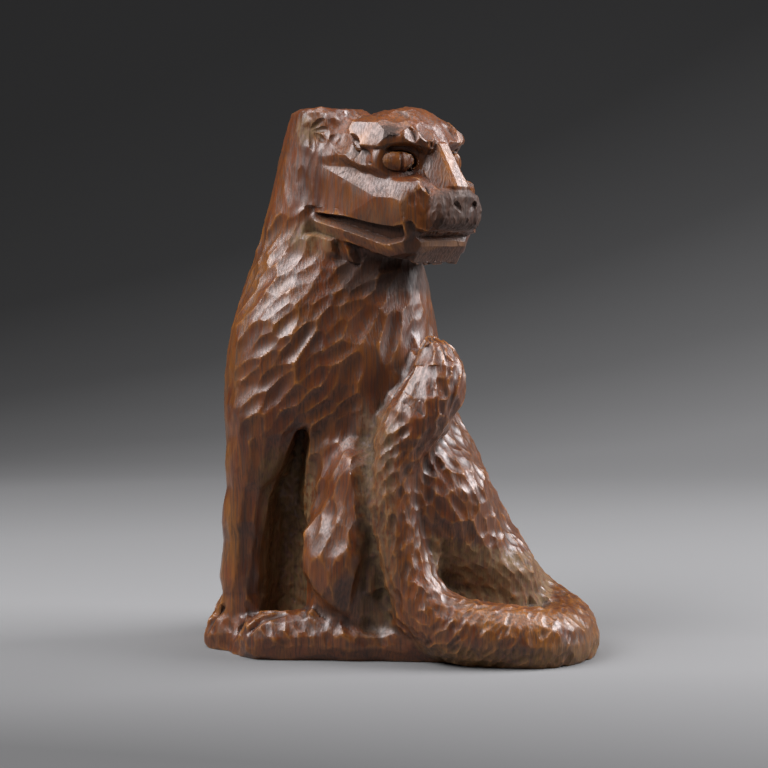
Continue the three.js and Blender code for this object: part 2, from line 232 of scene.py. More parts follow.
class Cuts:
    """Scoops of a gouge: each has a middle, a way, half its length and width, and a depth, in mm."""

    STARTS = 0.12  # the share of a region's points at which a cut is tried
    CROWDING = 0.73036  # how close together cuts may lie, as a share of a full spacing
    EDGE_ON = 0.15  # below this the way of a cut runs almost into the wood
    ENTRY, EXIT = 1.25, 0.75  # a gouge goes in slowly and comes out steeply: shares of half the length

    def __init__(self):
        self.middles, self.ways, self.facings, self.sizes = [], [], [], []

    def add(self, middle, way, facing, length, width, depth):
        facing = unit(facing)
        way = unit(np.asarray(way) - facing * np.dot(way, facing))
        self.middles.append(np.asarray(middle))
        self.ways.append(way)
        self.facings.append(facing)
        self.sizes.append((length, width, depth))

    def scatter(self, carving, facing, where, flow, length, width, depth, rng, spread=0.35):
        """Covers the points where `where` is over a half with cuts that follow the flow."""
        chosen = np.flatnonzero(where > 0.5)
        rng.shuffle(chosen)
        tries = chosen[: int(len(chosen) * self.STARTS) + 60]
        kept = []
        kept_at = np.empty((len(tries), 3))
        for i in tries:
            n = facing[i]
            way = flow[i] + spread * rng.normal(size=3) * 0.5
            way = way - n * np.dot(way, n)
            if np.linalg.norm(way) < self.EDGE_ON:
                continue
            way = unit(way)
            gaps = (kept_at[: len(kept)] - carving.points[i]) / MM
            along = gaps @ way
            apart = np.sqrt(np.maximum((gaps**2).sum(axis=1) - along**2, 0))
            spacing = (along / (length * 1.05)) ** 2 + (apart / width) ** 2
            if len(kept) and np.min(spacing) < self.CROWDING:
                continue
            kept_at[len(kept)] = carving.points[i]
            kept.append(i)
            size = rng.uniform(0.8, 1.25)
            self.add(carving.points[i], way, n, length * size, width * rng.uniform(0.85, 1.2),
                     depth * size * rng.uniform(0.8, 1.2))

    def make(self, carving, facing):
        """Sinks every cut into the surface, where the deepest wins, and gives each its own tone."""
        tree = tree_of(carving.points)
        sunk = np.zeros(len(carving.points))
        placed = zip(self.middles, self.ways, self.facings, self.sizes)
        for number, (middle, way, n, (length, width, depth)) in enumerate(placed):
            reach = 1.5 * max(length, width) * MM
            near = np.array([i for _, i, _ in tree.find_range(Vector(middle), reach)], int)
            if not len(near):
                continue
            d = (carving.points[near] - middle) / MM
            along = d @ way
            apart = d @ np.cross(n, way)
            height = d @ n
            along = np.where(along > 0, along / (self.EXIT * length), along / (self.ENTRY * length))
            deep = depth * (1 - along**2 - (apart / width) ** 2)
            deep -= np.maximum(np.abs(height) - 0.5 * width, 0) * 0.5
            deep = np.where(facing[near] @ n > 0.35, deep, 0)
            deeper = near[deep > sunk[near]]
            sunk[near] = np.maximum(sunk[near], deep)
            carving.tone[deeper] = math.sin(number * 12.9898) * 43758.5453 % 1.0
        carving.move(-facing, sunk * MM)


def flow_of(*way):
    return unit(np.array(way, float))


# The head: flat paring cuts, the eyes, grooves and scoops, all placed in the head's frame.
# Both sides of the face have the same cuts: what is listed for one side is made on both.

SIDES = (-1, 1)

# Planes that a part of the face is hewn to: a point on each, and the way it faces

CHEEK_PLANES = [
    ((52, -12, -16), (0.985, 0.07, 0.08)),
    ((52.5, -14, 4), (0.90, 0.12, 0.42)),
    ((48.3, 16, -8), (0.90, 0.20, 0.39)),
    ((44.3, 42, -10), (0.82, 0.42, 0.39)),
    ((51.5, 10, -27), (0.965, 0.18, -0.12)),
    ((49.2, 38, -29), (0.930, 0.32, -0.15)),
    ((41, 56, -22), (0.68, 0.73, 0.02)),
    ((46, 30, 3), (0.62, 0.34, 0.70)),
]
BROW_PLANES = [
    ((50, 14, 31), (0.90, 0.22, 0.37)),
    ((47, 14, 42), (0.56, 0.16, 0.81)),
    ((46.5, 34, 30), (0.80, 0.60, -0.04)),
    ((38, 30, 43), (0.50, 0.48, 0.72)),
    ((30, 50, 32), (0.42, 0.88, 0.20)),
]
JAW_PLANES = [
    ((45, 6, -54), (0.93, 0.10, -0.36)),
    ((39, 36, -60), (0.90, 0.24, -0.37)),
    ((30, 56, -58), (0.66, 0.70, -0.28)),
]
CHIN_PLANES = [
    ((0, 57, -49), (0, 0.875, 0.48)),
    ((0, 59, -57), (0, 0.83, -0.56)),
]
BRIDGE_PLANES = [
    ((-6, 59.4, 26), (-0.80, 0.55, 0.28)),
    ((5, 59.4, 26), (0.80, 0.40, 0.35)),
    ((0, 59.4, 26), (0, 0.877, 0.48)),
]

MOUTH_DEPTH = 9

# Single flat cuts: the middle, the way it faces, its depth, and its reach along and up the face

FLAT_CUTS = [
    ((30, 52, 33), (0.10, 0.87, 0.48), 2.2, 5, 7),
    ((20, 56, 34), (0.05, 0.87, 0.49), 1.8, 5, 7),
    ((12, 54, 38), (0.30, 0.70, 0.65), 1.6, 8, 9),
    ((26, 30, 48), (0.25, 0.45, 0.86), 1.2, 10, 9),
    ((49, 2, 22), (0.84, 0.30, 0.45), 1.8, 9, 8),
    ((49, 14, 14), (0.92, 0.22, 0.30), 1.6, 9, 8),
    ((51, -8, 30), (0.88, 0.05, 0.47), 1.4, 9, 9),
    ((14, 8, 57), (0.2, 0.1, 0.97), 0.8, 12, 14),
]

# Each scoop: its middle, the way it runs, half its length and width, and its depth

FACE_SCOOPS = [
    ((54, -4, -18), (0, 0.15, 1), 17, 6, 0.7),
    ((54, -15, -16), (0, 0.1, 1), 18, 6, 0.7),
    ((54, -26, -14), (0, 0.0, 1), 18, 6, 0.7),
    ((50, -46, -8), (0, -0.3, 1), 22, 6, 1.0),
    ((22, 54, 8), (-0.1, 0.5, -0.85), 14, 6, 1.6),
    ((30, 56, -6), (-0.3, 0.8, -0.5), 10, 4.5, 1.2),
    ((35, 58, -20), (0, 0.3, -1), 8, 4, 1.0),
    ((8, 30, 55), (0, 1, -0.2), 12, 4, 0.8),
    ((18, 34, 50), (0.1, 1, -0.4), 11, 4, 0.8),
    ((30, -4, 52), (0, 1, 0), 15, 6, 0.9),
    ((14, -14, 54), (0, 1, 0), 16, 6, 0.8),
]

# The ear: cuts that spread from its hollow like petals. Each has its turn from straight ahead
# in degrees, how far out its middle lies, half its length and width, and its depth.

EAR = (50, -43, 38)
PETALS = [
    (36, 12, 9, 3.4, 2.6), (4, 12, 9, 3.6, 2.6), (-34, 12, 8, 3.2, 2.4), (-76, 13, 9, 3.4, 1.6),
    (46, 30, 12, 8.0, 1.3), (16, 29, 15, 8.0, 1.4), (-12, 31, 14, 7.0, 1.3), (-42, 29, 15, 7.5, 1.2),
]


def nearest_point(carving, place):
    return int(np.argmin(((carving.points - from_head(*place)) ** 2).sum(axis=1)))


def cheek_edge(b):
    """How high the cheek ends over the mouth, along the face."""
    return np.interp(b, [-36, 0, 20, 34, 45, 55], [-29, -32.5, -37, -39.5, -40.5, -38.5])


def lip_crest(b):
    """How high the lower lip stands, along the face."""
    return np.interp(b, [-36, 0, 34, 59], [-36, -45.5, -56, -51])


def outside_mouth(carving):
    """1 on the cheeks and the jaw, 0 in the long recess of the mouth between them."""
    _, b, c = to_head(carving.points).T
    return 1 - band(c, lip_crest(b) + 0.5, cheek_edge(b) - 0.5, 1.2) * band(b, -32, 50, 3)


def bend_mouth(carving):
    """Draws the straight mouth into its long curve, low in front and high at its corners."""
    a, b, c = to_head(carving.points).T
    lift = np.interp(b, [-40, -30, 0, 20, 34, 45, 56], [5, 7, 4, -1, -3, -4, -2])
    share = band(c, -56, -33, 10) * band(b, -40, 50, 12) * ramp(np.abs(a), 16, 26)
    carving.move(np.tile(UP, (len(a), 1)), lift * share * MM)


def pare(carving, place, way, depth, reach, height, most=7):
    """Pares the wood flat: what stands proud of a plane, sunk a little below the surface, comes off."""
    n = head_way(*way)
    across = unit(np.cross(UP, n))
    up = np.cross(n, across)
    d = (carving.points - carving.points[nearest_point(carving, place)]) / MM
    spread = np.sqrt((d @ across / reach) ** 2 + (d @ up / height) ** 2)
    proud = np.clip(d @ n + depth, 0, most)
    proud = proud * (1 - ramp(spread, 0.95, 1.25)) * ramp(carving.facing @ n, 0, 0.4)
    carving.move(-np.tile(n, (len(d), 1)), proud * outside_mouth(carving) * MM)


def hew(carving, planes, chosen, folded=True, most=8, mouth=False):
    """Brings the chosen wood to the faces of a block with these planes, cutting or filling a little.

    Folded, both sides of the head share the planes, which are given for positive a.
    """
    frame = np.array([ACROSS, FORWARDS, UP])
    points = to_head(carving.points)
    facing = carving.facing @ frame.T
    fold = np.where(points[:, :1] < 0, -1.0, 1.0) if folded else np.ones((len(points), 1))
    points[:, :1] *= fold
    facing[:, :1] *= fold
    ways = unit([way for _, way in planes])
    proud = np.array([(points - place) @ way for (place, _), way in zip(planes, ways)])
    nearest = proud.argmax(axis=0)
    proud = proud.max(axis=0)
    way = ways[nearest]
    share = chosen(*points.T) * (1 - ramp(np.abs(proud), 0.75 * most, most))
    share *= ramp((facing * way).sum(axis=1), 0.1, 0.5) * (1 if mouth else outside_mouth(carving))
    move = -way * (proud * share)[:, None]
    move[:, :1] *= fold
    carving.points += move @ frame * MM


def to_line(points, path):
    """Each point's distance in mm from a path, and how far along the path it lies from 0 to 1."""
    path = np.asarray(path, float)
    nearest = np.full(len(points), 1e9)
    share = np.zeros(len(points))
    for i in range(len(path) - 1):
        span = path[i + 1] - path[i]
        t = np.clip(((points - path[i]) @ span) / (span @ span), 0, 1)
        gap = np.linalg.norm(points - path[i] - t[:, None] * span, axis=1)
        closer = gap < nearest
        nearest = np.where(closer, gap, nearest)
        share = np.where(closer, (i + t) / (len(path) - 1), share)
    return nearest, share


def groove(carving, points, path, width, depth, facing, taper=0.25):
    """Cuts a V along a path given in the same mm as the points, fading out at its ends."""
    gap, share = to_line(points, path)
    ends = np.minimum(ramp(share, -0.02, taper), 1 - ramp(share, 1 - taper, 1.02)) if taper else 1.0
    carving.move(-facing, depth * MM * np.clip(1 - gap / width, 0, 1) * ends)


def carve_eyes(carving):
    """Sets each eye in its socket: a flattened almond cut in three facets, with a gap round it."""
    for side in SIDES:
        inward = head_way(-side * 0.84, 0.54, 0)
        outward = head_way(side * 0.54, 0.84, 0.05)
        d = (carving.points - from_head(side * 33.5, 42, 12)) / MM
        u, v, w = d @ inward, d @ UP, d @ outward
        almond = (np.abs(u / 13.5) ** 2.3 + np.abs(v / (7.7 - 0.05 * u)) ** 2.3) ** (1 / 2.3)
        ball = np.minimum(3.4 + 0.36 * (u + 4.3), 3.4) - 0.28 * np.clip(u - 3.4, 0, 20)
        ball -= 3.2 * np.clip(np.abs(v) / 8.4, 0, 1) ** 2.2
        ball -= 1.1 * band(u, 0.6, 3.0, 0.8)
        socket = -1.2 - 0.10 * np.clip(u, 0, 20) + 0.12 * np.clip(-v - 9, 0, 10)
        gap = -3.0 * np.clip(1 - np.abs(almond - 1.08) / 0.12, 0, 1) * ramp(u + 0.8 * v, -6, 9)
        aim = np.where(almond < 1, ball, socket + gap)
        reach = np.sqrt((u / 20) ** 2 + ((v + 1) / 12.5) ** 2)
        part = (1 - ramp(reach, 0.9, 1.3)) * (np.abs(w) < 16) * (carving.facing @ outward > -0.1)
        carving.move(np.tile(outward, (len(d), 1)), (aim - w) * part * MM)


def side_at(planes, b, c):
    """How far out a side hewn to these planes lies, along and up the face."""
    return np.min([place[0] - (way[1] * (b - place[1]) + way[2] * (c - place[2])) / way[0]
                   for place, way in planes], axis=0)


def open_mouth(carving):
    """Sinks the long mouth under the cheek, with the lower lip's pale bevel rising out of it."""
    a, b, c = to_head(carving.points).T
    top, crest = cheek_edge(b), lip_crest(b)
    lips = band(c, crest - 12, top + 4, 3) * band(b, -38, 54, 6) * ramp(np.abs(a), 20, 27)
    for _ in range(3):
        carving.points += (carving.averaged(carving.points, 6) - carving.points) * lips[:, None]
    a, b, c = to_head(carving.points).T
    top, crest = cheek_edge(b), lip_crest(b)
    lips = band(c, crest - 9, top + 3, 3) * band(b, -36, 54, 6) * ramp(np.abs(a), 20, 27)
    under = np.clip((top - c) / (top - crest), 0, 1)
    outer = side_at(CHEEK_PLANES, b, c) * (1 - under) + side_at(JAW_PLANES, b, c) * under
    bevel = np.clip((c - crest) / 5, 0, 1)
    sunk = MOUTH_DEPTH * band(b, -28, 46, 9) * bevel * (1 - ramp(c, top - 1.6, top + 0.2))
    move = (outer - sunk - np.abs(a)) * np.sign(a) * lips
    carving.move(np.tile(ACROSS, (len(a), 1)), move * MM)
    carving.refresh()


def hew_face(carving):
    """Brings the cheeks, brows, jaw, chin and the nose's long bridge to flat planes with crisp edges."""
    bend_mouth(carving)
    _, b, c = to_head(carving.points).T
    carving.soften(14, band(c, -62, -34, 4) * band(b, -44, 52, 4))
    hew(carving, CHEEK_PLANES,
        lambda a, b, c: band(b, -20, 58, 16) * band(c, -60, 3 + 6 * ramp(-b, -16, 0), 9) * (a > 24))
    hew(carving, BROW_PLANES, lambda a, b, c: band(b, 0, 46, 4) * band(c, 24, 46, 3) * (a > 24))
    hew(carving, JAW_PLANES,
        lambda a, b, c: band(b, -8, 50, 14) * band(c, -68, lip_crest(b) - 7, 4) * ramp(a, 29, 35),
        mouth=True)
    hew(carving, CHIN_PLANES, lambda a, b, c: band(c, -70, -48, 2) * band(a, -1, 26, 4) * (b > 40))
    hew(carving, BRIDGE_PLANES, lambda a, b, c: band(a, -15, 20, 2) * band(c, -9, 25, 3) * (b > 44),
        folded=False, most=14)
    open_mouth(carving)
    for side in SIDES:
        for (a, b, c), (way_a, way_b, way_c), depth, reach, height in FLAT_CUTS:
            pare(carving, (side * a, b, c), (side * way_a, way_b, way_c), depth, reach, height)
    carving.refresh()


def carve_head(carving, rng):
    """Hews the face into planes, then cuts the eyes, nose, mouth, teeth and ears."""
    hew_face(carving)
    carve_eyes(carving)
    carving.refresh()

    facing = carving.smooth_facing(4)
    points = to_head(carving.points)
    for side in SIDES:
        brow_line = [(side * 47, 10, 27), (side * 44, 24, 23), (side * 37, 40, 21.5), (side * 20, 52, 22)]
        groove(carving, points, brow_line, 2.6, 2.6, facing)
        middle = 4.5
        nostril = [(middle + side * 5.5, 82, -28), (middle + side * 11, 80, -23)]
        groove(carving, points, nostril, 3.0, 3.2, facing, taper=0)
        wing = [(middle + side * 18, 80, -33), (middle + side * 24, 72, -27), (middle + side * 20, 72, -14)]
        groove(carving, points, wing, 2.2, 1.4, facing)
        for rise in (0, 5):
            crease = [(side * 52, 18, 12 - rise), (side * 47, 31, 8 - rise)]
            groove(carving, points, crease, 1.8, 1.2, facing, taper=0.3)
    groove(carving, points, [(4, 84, -31), (4, 78, -43)], 2.4, 1.8, facing, taper=0)
    groove(carving, points, [(-16, 62, -46.5), (4, 66, -45.5), (22, 62, -46.5)], 2.8, 5, facing, taper=0.1)
    for across in np.linspace(-23, 5, 9):
        groove(carving, points, [(across, 70, -38.5), (across, 59, -46)], 1.2, 2.4, facing, taper=0)
    carving.refresh()

    facing = carving.smooth_facing(5)
    cuts = Cuts()

    def scoop(place, way, length, width, depth):
        i = nearest_point(carving, place)
        cuts.add(carving.points[i], head_way(*way), facing[i], length, width, depth)

    for side in SIDES:
        for (a, b, c), (way_a, way_b, way_c), length, width, depth in FACE_SCOOPS:
            scoop((side * a, b, c), (side * way_a, way_b, way_c), length, width, depth)
        ear = np.array([side * EAR[0], EAR[1], EAR[2]])
        for turn, reach, length, width, depth in PETALS:
            way = np.array([0, math.cos(math.radians(turn)), math.sin(math.radians(turn))])
            scoop(ear + reach * way, way, length, width, depth)
    a, b, c = to_head(carving.points).T
    forwards = np.tile(FORWARDS, (len(a), 1))
    nose = (b > 64) & (c < -12) & (c > -42)
    cuts.scatter(carving, facing, nose.astype(float), forwards * 0.3 - UP, 5, 2.6, 0.5, rng, spread=1.0)
    crown = (c > 47) & (b > -20) & (b < 50)
    cuts.scatter(carving, facing, crown.astype(float), forwards, 11, 4.0, 0.8, rng)
    cuts.make(carving, facing)
    carving.refresh()


def tree_of(points):
    tree = kdtree.KDTree(len(points))
    for i, p in enumerate(points):
        tree.insert(p, i)
    tree.balance()
    return tree


def cut_toes(carving):
    """Parts the toes of the four feet."""
    facing = carving.smooth_facing(3)
    points = carving.points / MM
    for side in SIDES:
        for number, y in enumerate((54, 67, 80)):
            fan = 4 * (number - 1)
            path = [(-92, side * (y - fan), 40), (-114, side * y, 35), (-131, side * (y + fan), 20),
                    (-137, side * (y + fan), 5)]
            groove(carving, points, path, 4.6, 5.0, facing, taper=0.15)
        for y in (12, 24, 36):
            path = [(-142, side * y, 40), (-158, side * y, 28), (-167, side * y, 12), (-168, side * y, 3)]
            groove(carving, points, path, 4.2, 4.6, facing, taper=0.15)
    carving.refresh()


def side_groove(carving, path, width, depth, facing, apart, side):
    """Cuts a rounded V in one side of the figure, along a path given along and up that side."""
    x, y, z = (carving.points / MM).T
    gap, share = to_line(np.stack([x, z], axis=1), path)
    shown = ramp(facing[:, 1] * side, 0.1, 0.4) * (y * side > 40) * ramp(apart, 0, 4)
    ends = ramp(share, -0.02, 0.15) * (1 - ramp(share, 0.85, 1.02))
    carving.move(-facing, depth * MM * (1 - ramp(gap, 0, width)) * ends * shown)


def swell_knees(carving, facing, apart):
    """Fills each knee out to its full egg shape, parted from the foot below and the thigh behind."""
    x, y, z = (carving.points / MM).T
    for side in SIDES:
        along = (x - KNEE[0] - 0.12 * (z - KNEE[1])) / KNEE_SIZE[0]
        egg = np.hypot(along, (z - KNEE[1]) / KNEE_SIZE[1])
        shown = ramp(facing[:, 1] * side, -0.1, 0.3) * (y * side > 40) * ramp(apart, 0, 6)
        fullness = 7 if side < 0 else 1.5
        carving.move(facing, fullness * MM * (1 - ramp(egg, 0.55, 1.05)) * shown)
    x, y, z = (carving.points / MM).T
    side_groove(carving, VALLEY, 15, 8, facing, apart, -1)
    for side in SIDES:
        side_groove(carving, KNEE_CREASE, 10, 4.6, facing, apart if side < 0 else apart + 20, side)
    carving.refresh()


def flute_tuft(carving, facing, joint, gap, tail_way):
    """Cuts the tuft in long flutes that meet at its tip: narrow behind and on top, broad in front."""
    outward = facing - tail_way * (facing * tail_way).sum(axis=1, keepdims=True)
    turn = np.arctan2(outward[:, 1], outward[:, 0] - 0.4 * outward[:, 2])
    turn = turn + 0.22 * (joint - TUFT)
    front = ramp(np.abs(turn + 2.0), 1.1, 0.5)
    flutes = np.abs(np.sin(6.5 * turn)) * (1 - front) + 1.5 * np.abs(np.sin(2.6 * turn)) * front
    share = ramp(joint, TUFT - 0.2, TUFT + 0.9) * (1 - ramp(gap, 1.5, 5))
    share *= ramp(np.linalg.norm(outward, axis=1), 0.15, 0.7)
    carving.move(-facing, 1.9 * flutes * share * MM)


def carve_body(carving, rng):
    """Covers the body in gouge cuts that follow each part's muscles."""
    swell_knees(carving, carving.smooth_facing(20), tail_place(carving.points)[1])
    facing = carving.smooth_facing(6)
    x, y, z = (carving.points / MM).T
    a, b, c = to_head(carving.points).T
    joint, gap, tail_way = tail_place(carving.points)
    in_head = np.sqrt((a / 60) ** 2 + ((b - 14) / 75) ** 2 + ((c + 6) / 66) ** 2) < 1
    neck_side = np.sqrt(((a + 5) / 60) ** 2 + ((b - 5) / 66) ** 2 + ((c + 4) / 60) ** 2) < 1
    in_head &= neck_side
    on_tail = gap < 2.5
    side = np.where(y < 0, -1.0, 1.0)
    near = y < 0
    cuts = Cuts()
    rest = ~on_tail & ~in_head & (z > 3)

    def region(test):
        nonlocal rest
        found = rest & test
        rest = rest & ~test
        return found.astype(float)

    def spread_of(*way):
        return np.tile(flow_of(*way), (len(x), 1))

    feet = region((z < 44) & (np.abs(y) > 50) & (x < 60) | (z < 42) & (x < -125) | (z < 26))
    across = np.stack([0.3 + 0 * x, side * 0.7, -0.6 + 0 * x], axis=1)
    cuts.scatter(carving, facing, feet * (z > 17), across, 12, 7, 1.7, rng)
    cuts.scatter(carving, facing, feet * (z <= 17), spread_of(1, 0, 0.05), 16, 6, 0.7, rng)
    hollow = region((x > -116) & (x < -74) & (np.abs(y) < 52) & (z < 186))
    cuts.scatter(carving, facing, hollow, spread_of(0.4, 0, 1), 7, 3, 0.9, rng, spread=1.2)
    foreleg = region((x < -84) & (z < 190))
    cuts.scatter(carving, facing, foreleg, spread_of(0.12, 0.05, 1), 30, 11, 1.5, rng)
    knee = region((x < 12) & (z < 190))
    cuts.scatter(carving, facing, knee, spread_of(0.28, 0, 1), 25, 11.5, 2.8, rng)
    haunch = region((z < 215) & (x > 0) & (z > 84 - 0.3 * (x - 60)))
    cuts.scatter(carving, facing, haunch, spread_of(0.42, 0, -0.9), 14, 8.5, 3.0, rng)
    cove = region((z < 110) & (x > 0))
    cuts.scatter(carving, facing, cove, spread_of(0.7, 0, -0.7), 13, 6.5, 1.8, rng)
    flank = region(near & (x > -42) & (z < 268) & (z > 150))
    cuts.scatter(carving, facing, flank, spread_of(0.2, 0, 1), 22, 7, 0.35, rng)
    breast = region((x < -128) & (z < 330))
    cuts.scatter(carving, facing, breast, spread_of(0.15, 0.25, 1), 16, 7, 1.1, rng)
    chest = region((z < 352) & (x < -2))
    cuts.scatter(carving, facing, chest, spread_of(0.72, 0, 0.7), 23, 10.5, 3.4, rng)
    neck = region((z < 460) & (x < -40))
    cuts.scatter(carving, facing, neck, spread_of(0.25, 0, 1), 16, 6, 0.9, rng)
    cuts.scatter(carving, facing, rest.astype(float), spread_of(0.25, 0.1, 1), 15, 7, 1.3, rng)

    low_tail = on_tail & (joint < 5.6)
    rising = on_tail & (joint >= 5.6) & (joint < TUFT)
    slant = tail_way * 0.55 + np.array([0.1, 0, -0.8])
    cuts.scatter(carving, facing, (low_tail & (z > 3)).astype(float), slant, 10, 4.4, 1.5, rng)
    slant = tail_way * 0.9 + np.array([0.45, 0, 0.1])
    cuts.scatter(carving, facing, rising.astype(float), slant, 12, 6, 1.9, rng)
    cuts.make(carving, facing)
    flute_tuft(carving, facing, joint, gap, tail_way)
    carving.refresh()


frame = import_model()
skin = skin_of(frame["nodes"]["tiger"], SKIN_CELL * (1))
divide_head(skin)
carving = Carving(skin.data)
rng = np.random.default_rng(SEED)
carving.soften(10)
carve_body(carving, rng)
carve_head(carving, rng)
cut_toes(carving)


# What the wood's colour depends on, stored at each point of the surface

def edges_and_hollows(carving):
    """How far each point stands out of the surface round it, close by and further off, in mm."""
    sharp = ((carving.points - carving.averaged(carving.points, 8)) * carving.facing).sum(axis=1) / MM
    broad = ((carving.points - carving.averaged(carving.points, 90)) * carving.facing).sum(axis=1) / MM
    return sharp, broad


def dusty_places(carving):
    """Where old dust has stayed: the mouth's corners, the eyes, the ears and the feet of the hollows."""
    x, y, z = (carving.points / MM).T
    a, b, c = to_head(carving.points).T
    a = np.abs(a)
    joint, gap, _ = tail_place(carving.points)

    def patch(distance, reach):
        return 1 - ramp(distance, 0.4 * reach, reach)

    dust = 0.9 * patch(np.hypot((a - 26) / 7, (b - 56) / 8) * 1.0 + np.abs(c - 8) / 16, 1.4)
    dust = np.maximum(dust, 0.8 * patch(np.sqrt((a - 50) ** 2 + (b + 46) ** 2 + (c - 38) ** 2), 17))
    dust = np.maximum(dust, 0.75 * patch(np.hypot(b + 34, 1.3 * (c + 50)), 26) * (a > 20))
    dust = np.maximum(dust, 0.85 * band(x, -112, -76, 8) * band(z, 30, 150, 40) * (np.abs(y) < 60))
    cove = ramp(x, 5, 30) * band(z, 40, 100, 14) * (y < 0) * (gap > 2)
    dust = np.maximum(dust, 0.8 * cove * (z < 100 - 0.25 * (x - 40)))
    dust = np.maximum(dust, 0.65 * (gap < 6) * (z < 26) * ramp(-z, -26, -8))
    valley = band(x, -32, -10, 8) * band(z, 40, 190, 30) * (y < -40)
    return np.maximum(dust, 0.5 * valley)


def nose_and_shade_places(carving):
    """The nose and upper lip drawn nearly black, painted shade in the mouth's recess, and painted shadow
    under the jaw and on the chin.
    """
    a, b, c = to_head(carving.points).T
    nose = ramp(b, 64, 75) * band(c, -44, -13, 4)
    recess = band(c, lip_crest(b) + 1, cheek_edge(b), 2) * band(b, -36, 48, 5) * (np.abs(a) < 50)
    throat = band(c, -92, -66, 8) * band(b, -30, 40, 14) * (np.abs(a) < 48)
    chin = ramp(b, 30, 45) * band(c, -80, -54, 4)
    return np.maximum.reduce([0.9 * nose, 0.8 * recess, 0.9 * throat, 0.6 * chin])


def amber_places(carving):
    """Where the old varnish has turned amber: the tail's floor end, the breast and the nape."""
    x, y, z = (carving.points / MM).T
    joint, gap, _ = tail_place(carving.points)
    low_tail = (gap < 6) * (1 - ramp(joint, 4.6, 6.4))
    breast = ramp(-x, 118, 150) * band(z, 50, 350, 40)
    nape = ramp(-x - 0.35 * (z - 300), 60, 110) * (z > 270)
    return np.maximum.reduce([0.9 * low_tail, 0.9 * breast, 0.8 * nape, np.full(len(x), 0.3)])


def dull_places(carving):
    """The front of the head, where handling has dulled the varnish."""
    a, b, c = to_head(carving.points).T
    return 1 - ramp(np.sqrt((a / 62) ** 2 + ((b - 16) / 78) ** 2 + ((c + 6) / 68) ** 2), 0.9, 1.1)


def store(mesh, name, values):
    layer = mesh.attributes.new(name, "FLOAT", "POINT")
    layer.data.foreach_set("value", np.asarray(values, np.float32))


def thin_out(skin, most):
    """Merges the flattest faces until few enough are left."""
    mesh = skin.data
    mesh.calc_loop_triangles()
    count = len(mesh.loop_triangles)
    if count <= most:
        return
    thin = skin.modifiers.new("fewer faces", "DECIMATE")
    thin.ratio = most / count
    bpy.ops.object.modifier_apply(modifier=thin.name)


sharp, broad = edges_and_hollows(carving)
known = {
    "edge": sharp,
    "swell": broad,
    "dust": dusty_places(carving),
    # a darker nose, painted shade in the mouth's recess and painted shadow under the jaw and chin
    "dark_nose_and_painted_shade": nose_and_shade_places(carving),
    "amber": amber_places(carving),
    "rubbed_dull": dull_places(carving),
    "tone": carving.tone,
}
fine_points = tree_of(carving.points)
thin_out(skin, MOST_TRIANGLES)
matches = [fine_points.find(v.co)[1] for v in skin.data.vertices]
for name, values in known.items():
    store(skin.data, name, values[matches])
bpy.ops.object.shade_smooth_by_angle(angle=math.radians(CRISP))


# The wood: node groups for its grain, its worn edges, its dust and its painted shade, and one material that
# uses them

def group_of(name, inputs, outputs):
    tree = bpy.data.node_groups.new(name, "ShaderNodeTree")
    for socket, kind in inputs:
        tree.interface.new_socket(socket, in_out="INPUT", socket_type=kind)
    for socket, kind in outputs:
        tree.interface.new_socket(socket, in_out="OUTPUT", socket_type=kind)
    return tree, tree.nodes.new("NodeGroupInput"), tree.nodes.new("NodeGroupOutput")


def streaks(tree, scale, stretch, detail, roughness=0.6):
    """Noise drawn out along the block's height, as its grain runs."""
    place = tree.nodes.new("ShaderNodeTexCoord")
    squeeze = tree.nodes.new("ShaderNodeMapping")
    squeeze.inputs["Scale"].default_value = stretch
    texture = tree.nodes.new("ShaderNodeTexNoise")
    texture.inputs["Scale"].default_value = scale
    texture.inputs["Detail"].default_value = detail
    texture.inputs["Roughness"].default_value = roughness
    tree.links.new(place.outputs["Object"], squeeze.inputs["Vector"])
    tree.links.new(squeeze.outputs[0], texture.inputs["Vector"])
    return texture.outputs["Fac"]


def spread(tree, value, low, high, start=0.0, end=1.0):
    """Stretches a value so that low becomes start and high becomes end."""
    node = tree.nodes.new("ShaderNodeMapRange")
    node.inputs["From Min"].default_value = low
    node.inputs["From Max"].default_value = high
    node.inputs["To Min"].default_value = start
    node.inputs["To Max"].default_value = end
    tree.links.new(value, node.inputs["Value"])
    return node.outputs[0]


def combine(tree, how, first, second):
    node = tree.nodes.new("ShaderNodeMath")
    node.operation = how
    for socket, value in zip(node.inputs, (first, second)):
        if isinstance(value, (int, float)):
            socket.default_value = value
        else:
            tree.links.new(value, socket)
    return node.outputs[0]


def tint(tree, share, under, over, how="MIX"):
    """Lays one colour over another by a share."""
    node = tree.nodes.new("ShaderNodeMix")
    node.data_type = "RGBA"
    node.blend_type = how
    tree.links.new(share, node.inputs["Factor"])
    for socket, colour in ((node.inputs[6], under), (node.inputs[7], over)):
        if isinstance(colour, tuple):
            socket.default_value = (*colour, 1)
        else:
            tree.links.new(colour, socket)
    return node.outputs[2]


def stored(tree, name):
    node = tree.nodes.new("ShaderNodeAttribute")
    node.attribute_name = name
    return node.outputs["Fac"]


def grain_group():
    """Long vertical figure, fine pores, and blotches where the stain took unevenly."""
    tree, _, out = group_of("grain", [], [("Figure", "NodeSocketFloat"), ("Pores", "NodeSocketFloat"),
                                          ("Blotches", "NodeSocketFloat"), ("Amber", "NodeSocketFloat")])
    figure = streaks(tree, 90, (1, 1, 0.09), 4)
    pores = streaks(tree, 620, (1, 1, 0.045), 3, 0.5)
    blotches = streaks(tree, 28, (1, 1, 0.6), 3)
    tree.links.new(spread(tree, figure, 0.34, 0.66), out.inputs["Figure"])
    tree.links.new(spread(tree, pores, 0.42, 0.66), out.inputs["Pores"])
    tree.links.new(spread(tree, blotches, 0.38, 0.62), out.inputs["Blotches"])
    amber = streaks(tree, 55, (1, 1, 0.35), 5, 0.7)
    tree.links.new(spread(tree, amber, 0.40, 0.62), out.inputs["Amber"])
    return tree


